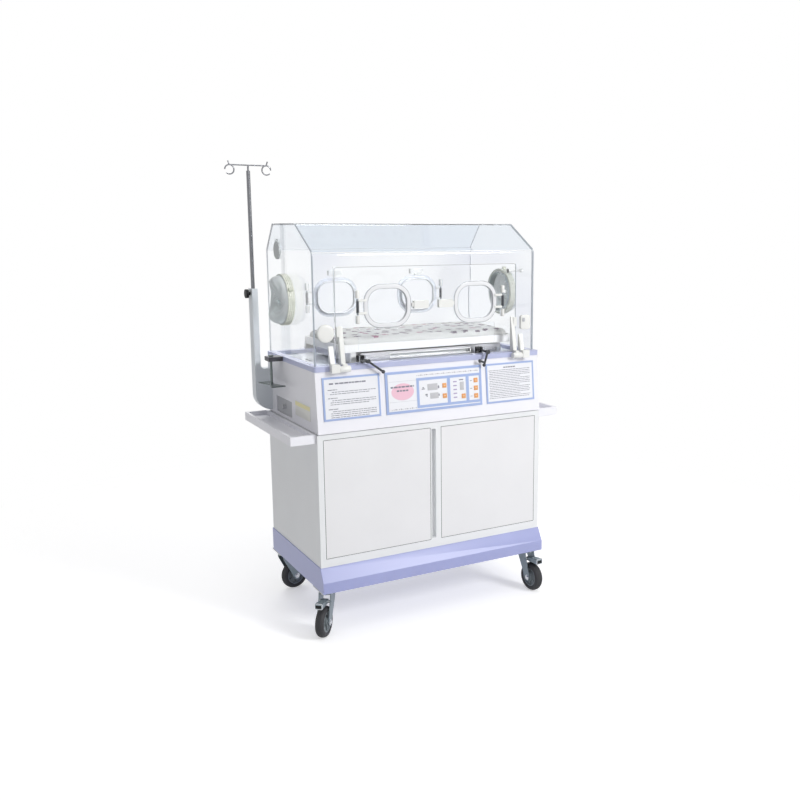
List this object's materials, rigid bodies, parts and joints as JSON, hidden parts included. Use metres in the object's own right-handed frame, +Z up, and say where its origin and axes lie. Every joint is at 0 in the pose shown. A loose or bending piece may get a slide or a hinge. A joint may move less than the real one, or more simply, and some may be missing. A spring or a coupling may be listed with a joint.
{
  "type": "infant incubator",
  "caption": "Infant incubator: clear hood with hand ports and sleeve ports over a tilting bed, control panel, cabinet with doors, side trays, drip pole, on casters.",
  "frame": {"origin": "on the floor, under the middle of the whole object's bounding box", "axes": "+Z up, +Y from the front with the control panel to the back, +X to the right as seen from the front"},
  "size_m": [1.0292, 0.5714, 1.504],
  "materials": {
    "white_board": "painted, satin",
    "white_plastic": "satin",
    "lavender_plastic": "satin",
    "panel_blue": "satin",
    "key_orange": "satin",
    "hood_clear": "clear, gloss",
    "cream_plastic": "satin",
    "ring_yellow": "satin",
    "cuff_film": "matte",
    "seal_rubber": "matte",
    "tray_ivory": "satin",
    "sheet_fabric": "woven",
    "steel": "brushed",
    "chrome": "polished",
    "zinc": "zinc plated",
    "dark_steel": "satin",
    "tyre_rubber": "matte",
    "arm_white": "satin",
    "black_plastic": "satin",
    "grey_plastic": "satin"
  },
  "bodies": {
    "cabinet": {"plinth": "lavender_plastic", "cabinet_shell": "white_board", "housing_shell": "white_plastic", "text_panels": "panel_blue", "control_frame": "panel_blue", "control_module": "white_plastic", "key_pads": "key_orange", "side_trays": "white_plastic", "water_trough": "grey_plastic", "fan_motor": "black_plastic", "heater_ring": "steel", "deck_rim": "lavender_plastic", "deck_panel": "white_plastic", "power_inlet": "black_plastic", "pole_arm": "arm_white", "rod_bracket": "arm_white", "rod_handle": "zinc", "caster_plates": "zinc"},
    "service_hatch": {"service_hatch": "grey_plastic"},
    "fan": {"fan_wheel": "grey_plastic"},
    "cabinet_door_left": {"cabinet_door_left": "white_board"},
    "cabinet_door_right": {"cabinet_door_right": "white_board"},
    "hood": {"hood_shell": "hood_clear", "hood_end_left": "hood_clear", "hood_end_right": "hood_clear", "hood_hinges": "cream_plastic", "access_hinges": "cream_plastic", "tube_plug": "seal_rubber", "back_catches": "cream_plastic"},
    "access": {"access_door": "hood_clear", "access_straps": "cream_plastic", "front_catches": "cream_plastic"},
    "front_port_left": {"front_port_left": "hood_clear"},
    "front_port_right": {"front_port_right": "hood_clear"},
    "back_port_left": {"back_port_left": "hood_clear"},
    "back_port_right": {"back_port_right": "hood_clear"},
    "door_knob_left": {"door_knob_left": "cream_plastic"},
    "door_knob_right": {"door_knob_right": "cream_plastic"},
    "sleeve_left": {"sleeve_ring_left": "ring_yellow", "sleeve_cuff_left": "cuff_film"},
    "sleeve_right": {"sleeve_ring_right": "ring_yellow", "sleeve_cuff_right": "cuff_film"},
    "bed_frame": {"bed_frame": "steel"},
    "bed_tray": {"mattress_tray": "tray_ivory", "mattress": "sheet_fabric", "bed_guard": "hood_clear"},
    "bed_lever_left": {"bed_lever_left": "black_plastic"},
    "bed_lever_right": {"bed_lever_right": "black_plastic"},
    "drip_pole": {"drip_pole": "chrome"},
    "pole_clamp": {"pole_clamp": "black_plastic"},
    "caster_front_left": {"caster_fork_front_left": "zinc"},
    "wheel_front_left": {"caster_wheel_front_left": "tyre_rubber"},
    "brake_pedal_front_left": {"brake_pedal_front_left": "dark_steel"},
    "caster_front_right": {"caster_fork_front_right": "zinc"},
    "wheel_front_right": {"caster_wheel_front_right": "tyre_rubber"},
    "brake_pedal_front_right": {"brake_pedal_front_right": "dark_steel"},
    "caster_back_left": {"caster_fork_back_left": "zinc"},
    "wheel_back_left": {"caster_wheel_back_left": "tyre_rubber"},
    "caster_back_right": {"caster_fork_back_right": "zinc"},
    "wheel_back_right": {"caster_wheel_back_right": "tyre_rubber"}
  },
  "joints": [
    {"name": "service_hatch_hinge", "type": "hinge", "parent": "cabinet", "child": "service_hatch", "pos_m": [-0.3834, 0.0773, 0.674], "axis": [0, -1, 0], "range_deg": [0, 90]},
    {"name": "fan_spin", "type": "hinge", "parent": "cabinet", "child": "fan", "pos_m": [0.1406, 0.0043, 0.749], "axis": [0, 0, 1], "continuous": true},
    {"name": "cabinet_door_left_hinge", "type": "hinge", "parent": "cabinet", "child": "cabinet_door_left", "pos_m": [-0.3674, -0.2277, 0.448], "axis": [0, 0, 1], "range_deg": [-105, 0]},
    {"name": "cabinet_door_right_hinge", "type": "hinge", "parent": "cabinet", "child": "cabinet_door_right", "pos_m": [0.4086, -0.2277, 0.448], "axis": [0, 0, -1], "range_deg": [-105, 0]},
    {"name": "hood_hinge", "type": "hinge", "parent": "cabinet", "child": "hood", "pos_m": [0.0206, 0.2443, 0.862], "axis": [-1, 0, 0], "range_deg": [0, 60]},
    {"name": "access_door_hinge", "type": "hinge", "parent": "hood", "child": "access", "pos_m": [0.0206, -0.2327, 0.858], "axis": [1, 0, 0], "range_deg": [0, 160]},
    {"name": "front_port_left_hinge", "type": "hinge", "parent": "access", "child": "front_port_left", "pos_m": [-0.2374, -0.2067, 1.044], "axis": [0, 0, 1], "range_deg": [-100, 0]},
    {"name": "front_port_right_hinge", "type": "hinge", "parent": "access", "child": "front_port_right", "pos_m": [0.2926, -0.2067, 1.044], "axis": [0, 0, -1], "range_deg": [-100, 0]},
    {"name": "back_port_left_hinge", "type": "hinge", "parent": "hood", "child": "back_port_left", "pos_m": [-0.2374, 0.2373, 1.044], "axis": [0, 0, -1], "range_deg": [-100, 0]},
    {"name": "back_port_right_hinge", "type": "hinge", "parent": "hood", "child": "back_port_right", "pos_m": [0.2926, 0.2373, 1.044], "axis": [0, 0, 1], "range_deg": [-100, 0]},
    {"name": "door_knob_left_turn", "type": "hinge", "parent": "hood", "child": "door_knob_left", "pos_m": [-0.3434, -0.1987, 0.967], "axis": [0, 1, 0], "range_deg": [0, 90]},
    {"name": "door_knob_right_turn", "type": "hinge", "parent": "hood", "child": "door_knob_right", "pos_m": [0.3846, -0.1987, 0.967], "axis": [0, 1, 0], "range_deg": [0, 90]},
    {"name": "sleeve_left_turn", "type": "hinge", "parent": "hood", "child": "sleeve_left", "pos_m": [-0.3944, 0.0293, 1.058], "axis": [1, 0, 0], "range_deg": [0, 180], "deforming": ["sleeve_cuff_left"]},
    {"name": "sleeve_right_turn", "type": "hinge", "parent": "hood", "child": "sleeve_right", "pos_m": [0.4356, 0.0293, 1.058], "axis": [1, 0, 0], "range_deg": [0, 180], "deforming": ["sleeve_cuff_right"]},
    {"name": "bed_frame_tilt", "type": "hinge", "parent": "cabinet", "child": "bed_frame", "pos_m": [0.3146, -0.0007, 0.87], "axis": [0, 1, 0], "range_deg": [0, 12]},
    {"name": "bed_tray_tilt", "type": "hinge", "parent": "bed_frame", "child": "bed_tray", "pos_m": [-0.2334, -0.0007, 0.872], "axis": [0, -1, 0], "range_deg": [0, 12]},
    {"name": "bed_lever_left_turn", "type": "hinge", "parent": "cabinet", "child": "bed_lever_left", "pos_m": [-0.2194, -0.2, 0.878], "axis": [0, 1, 0], "range_deg": [0, 90]},
    {"name": "bed_lever_right_turn", "type": "hinge", "parent": "cabinet", "child": "bed_lever_right", "pos_m": [0.2166, -0.2, 0.878], "axis": [0, -1, 0], "range_deg": [0, 90]},
    {"name": "drip_pole_slide", "type": "slide", "parent": "cabinet", "child": "drip_pole", "axis": [0, 0, 1], "range_m": [-0.04, 0.18]},
    {"name": "pole_clamp_turn", "type": "hinge", "parent": "cabinet", "child": "pole_clamp", "pos_m": [-0.4454, 0.2193, 1.068], "axis": [1, 0, 0], "range_deg": [0, 180]},
    {"name": "caster_front_left_swivel", "type": "hinge", "parent": "cabinet", "child": "caster_front_left", "pos_m": [-0.3614, -0.2007, 0.139], "axis": [0, 0, 1], "continuous": true},
    {"name": "wheel_front_left_spin", "type": "hinge", "parent": "caster_front_left", "child": "wheel_front_left", "pos_m": [-0.38482, -0.22671, 0.05], "axis": [0.7431, -0.6691, 0], "continuous": true},
    {"name": "brake_pedal_front_left_press", "type": "hinge", "parent": "caster_front_left", "child": "brake_pedal_front_left", "pos_m": [-0.37612, -0.21705, 0.114], "axis": [0.7431, -0.6691, 0], "range_deg": [0, 12]},
    {"name": "caster_front_right_swivel", "type": "hinge", "parent": "cabinet", "child": "caster_front_right", "pos_m": [0.4026, -0.2007, 0.139], "axis": [0, 0, 1], "continuous": true},
    {"name": "wheel_front_right_spin", "type": "hinge", "parent": "caster_front_right", "child": "wheel_front_right", "pos_m": [0.40565, -0.23557, 0.05], "axis": [0.9962, 0.0872, 0], "continuous": true},
    {"name": "brake_pedal_front_right_press", "type": "hinge", "parent": "caster_front_right", "child": "brake_pedal_front_right", "pos_m": [0.40452, -0.22262, 0.114], "axis": [0.9962, 0.0872, 0], "range_deg": [0, 12]},
    {"name": "caster_back_left_swivel", "type": "hinge", "parent": "cabinet", "child": "caster_back_left", "pos_m": [-0.3614, 0.2093, 0.139], "axis": [0, 0, 1], "continuous": true},
    {"name": "wheel_back_left_spin", "type": "hinge", "parent": "caster_back_left", "child": "wheel_back_left", "pos_m": [-0.32704, 0.21598, 0.05], "axis": [-0.1908, 0.9816, 0], "continuous": true},
    {"name": "caster_back_right_swivel", "type": "hinge", "parent": "cabinet", "child": "caster_back_right", "pos_m": [0.4026, 0.2093, 0.139], "axis": [0, 0, 1], "continuous": true},
    {"name": "wheel_back_right_spin", "type": "hinge", "parent": "caster_back_right", "child": "wheel_back_right", "pos_m": [0.3851, 0.23961, 0.05], "axis": [-0.866, -0.5, 0], "continuous": true}
  ],
  "couplings": [
    {"joint": "bed_lever_left_turn", "follows": "bed_frame_tilt", "ratio": 7.5},
    {"joint": "bed_lever_right_turn", "follows": "bed_tray_tilt", "ratio": 7.5}
  ]
}
